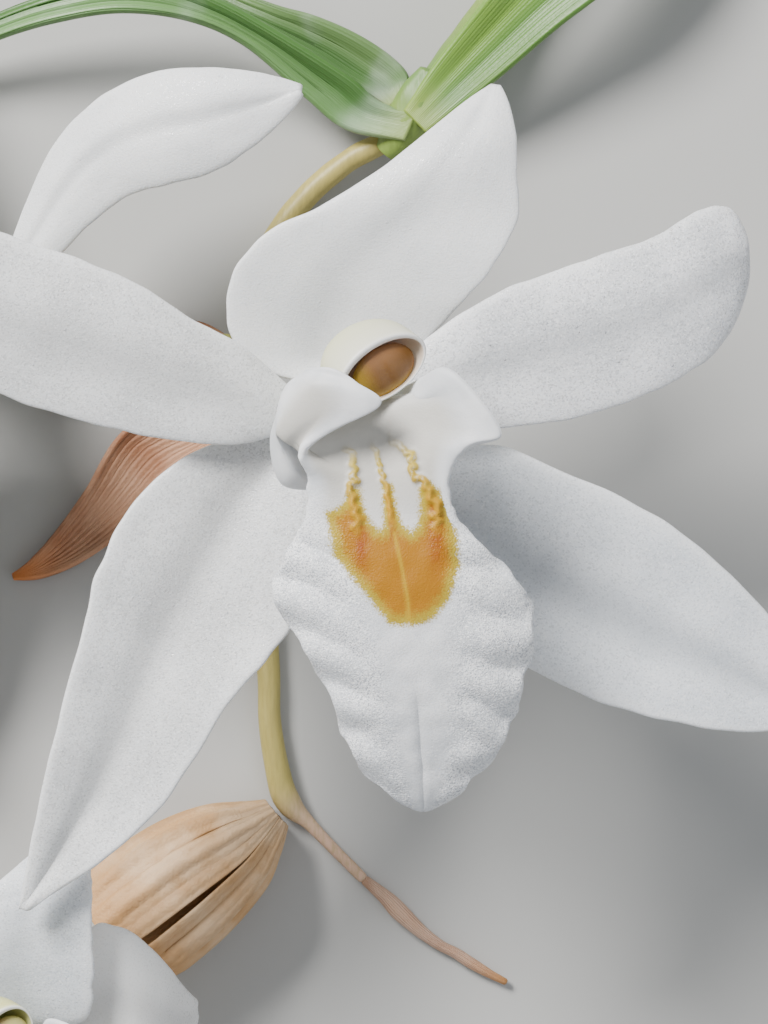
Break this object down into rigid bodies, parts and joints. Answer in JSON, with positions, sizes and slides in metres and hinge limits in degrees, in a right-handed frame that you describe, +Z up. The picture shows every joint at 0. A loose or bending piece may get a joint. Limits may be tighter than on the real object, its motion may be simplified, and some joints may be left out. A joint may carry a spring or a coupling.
{
  "type": "coelogyne orchid flowering shoot",
  "caption": "Cut flowering orchid shoot lying down: white blooms with a crested, yellow-centred lip on a curved stalk, with papery bracts and pleated green leaves.",
  "frame": {"origin": "the small flat under the flower stalk, on the surface, where the main bloom's pedicel leaves it", "axes": "+Z up, the way the blooms face; +Y along the stalk towards the leaves; +X to the right seen from above"},
  "size_m": [0.1162, 0.1461, 0.0405],
  "materials": {
    "white_tepal": "satin with a fine crystalline sparkle, like fresh petals",
    "white_lip": "crystalline white with a yellow and rust disc between the crests",
    "cream_column": "waxy cream with a green tinge",
    "brown_anther": "waxy pinkish brown with a mustard edge",
    "tan_bract": "dry and papery with fine lengthwise veins",
    "olive_stalk": "smooth, slightly waxy green stalk",
    "green_leaf": "satin leaf, pleated along its veins"
  },
  "bodies": {
    "root": {"flower_stalk": "olive_stalk", "stem_stub": "green_leaf", "leaf_left": "green_leaf", "leaf_back": "green_leaf", "leaf_right": "green_leaf", "main_bract": "tan_bract", "upper_bract": "tan_bract", "lower_bract": "tan_bract", "tail_bract": "tan_bract", "main_pedicel": "olive_stalk", "main_dorsal_sepal": "white_tepal", "main_petal_left": "white_tepal", "main_petal_right": "white_tepal", "main_lateral_sepal_left": "white_tepal", "main_lateral_sepal_right": "white_tepal", "main_lip": "white_lip", "main_column": "cream_column", "main_anther_cap": "brown_anther", "upper_pedicel": "olive_stalk", "upper_dorsal_sepal": "white_tepal", "upper_petal_left": "white_tepal", "upper_petal_right": "white_tepal", "upper_lateral_sepal_left": "white_tepal", "upper_lateral_sepal_right": "white_tepal", "upper_lip": "white_lip", "upper_column": "cream_column", "upper_anther_cap": "brown_anther", "lower_pedicel": "olive_stalk", "lower_dorsal_sepal": "white_tepal", "lower_petal_left": "white_tepal", "lower_petal_right": "white_tepal", "lower_lateral_sepal_left": "white_tepal", "lower_lateral_sepal_right": "white_tepal", "lower_lip": "white_lip", "lower_column": "cream_column", "lower_anther_cap": "brown_anther"}
  },
  "joints": []
}
